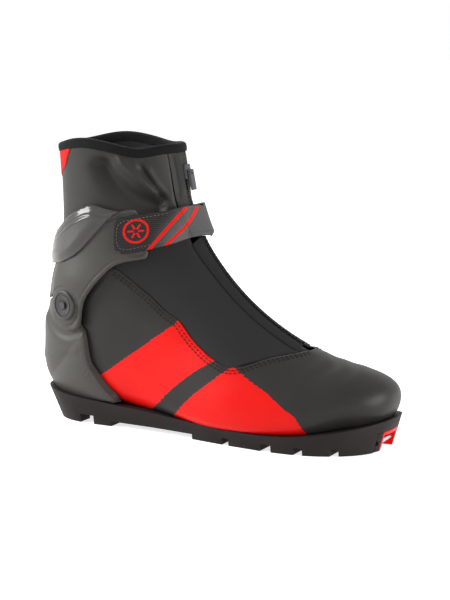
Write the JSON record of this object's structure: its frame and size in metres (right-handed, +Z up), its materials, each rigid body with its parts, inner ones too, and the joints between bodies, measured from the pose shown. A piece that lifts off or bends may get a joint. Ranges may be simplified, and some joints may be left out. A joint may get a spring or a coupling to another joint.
{
  "type": "cross country ski boot",
  "caption": "Cross-country skate boot for the right foot with a hinged ankle cuff, strap with hook-and-loop end, zipped lace cover and a lugged sole with a steel toe bar.",
  "frame": {"origin": "on the ground under the middle of the boot", "axes": "+X to the toe, +Y to the inner (medial) side, +Z up; right foot"},
  "size_m": [0.3037, 0.1012, 0.22],
  "materials": {
    "sole": "matte black-brown rubber with a satin rim",
    "insert": "red moulded plastic",
    "steel": "plain steel",
    "board": "stiff fibre board",
    "insole": "foam with a knitted top",
    "upper": "black synthetic leather, matte",
    "stiffener": "plain sheet",
    "lining": "soft dark fleece over foam",
    "quarter": "black coated fabric with red printed panels",
    "cover": "smooth dark softshell",
    "tape": "woven tape",
    "lace": "flat woven lace",
    "coil": "black nylon coil",
    "trim": "black plastic",
    "knit": "ribbed stretch knit",
    "shell": "dark grey moulded plastic with a fine texture",
    "gloss_shell": "dark grey moulded plastic, satin gloss",
    "cap": "dark moulded cap",
    "collar": "grey-black softshell with soft folds",
    "red_trim": "red woven patch",
    "strap": "grey woven strap with printed red lines",
    "grey_metal": "grey painted die casting"
  },
  "bodies": {
    "foot": {"outsole": "sole", "toe_insert": "insert", "toe_bar": "steel", "lasting_board": "board", "insole": "insole", "vamp": "upper", "toe_puff": "stiffener", "toe_lining": "lining", "quarter_lateral": "quarter", "quarter_medial": "quarter", "lace_cover_lateral": "cover", "lace_cover_medial": "cover", "lining_lateral": "lining", "lining_medial": "lining", "zip_band_lateral": "tape", "zip_band_medial": "tape", "eyelet_stay_lateral": "tape", "eyelet_stay_medial": "tape", "heel_pocket": "cover", "heel_lining_lateral": "lining", "heel_lining_back": "lining", "heel_lining_medial": "lining", "tongue": "lining", "lace": "lace", "zip_coil": "coil", "zip_stop": "trim", "ankle_flex": "knit", "heel_counter": "shell"},
    "cuff": {"cuff_shell": "shell", "cuff_spoiler": "gloss_shell", "pivot_pins": "steel", "pivot_washers": "trim", "pivot_caps": "cap", "cap_screws": "steel", "collar": "collar", "collar_lining": "lining", "collar_gusset": "knit", "collar_binding": "knit", "heel_patch": "red_trim", "zip_coil_upper": "coil", "strap_base": "strap", "strap_rivets": "steel", "loop_patch": "tape"},
    "strap_front": {"strap_front": "strap"},
    "strap_tab": {"strap_tab": "strap", "hook_patch": "tape"},
    "zip_slider": {"zip_slider": "grey_metal"},
    "zip_pull": {"zip_pull": "grey_metal"}
  },
  "joints": [
    {"name": "cuff_flex", "type": "hinge", "parent": "foot", "child": "cuff", "pos_m": [-0.11297, 0, 0.09477], "axis": [0, 1, 0], "range_deg": [-4, 8], "stiffness_Nm_per_rad": 15, "deforming": ["ankle_flex"]},
    {"name": "strap_fold", "type": "hinge", "parent": "cuff", "child": "strap_front", "pos_m": [-0.0114, 0.01688, 0.15281], "axis": [-0.4092, 0.0708, 0.9097], "range_deg": [0, 90]},
    {"name": "tab_fold", "type": "hinge", "parent": "strap_front", "child": "strap_tab", "pos_m": [-0.0114, -0.01692, 0.15281], "axis": [-0.4092, -0.0688, 0.9098], "range_deg": [0, 90]},
    {"name": "zip_run", "type": "slide", "parent": "cuff", "child": "zip_slider", "axis": [0.1956, 0, -0.9807], "range_m": [0, 0.009]},
    {"name": "pull_swing", "type": "hinge", "parent": "zip_slider", "child": "zip_pull", "pos_m": [-0.0213, 0, 0.20059], "axis": [0, -1, 0], "range_deg": [0, 140]}
  ]
}
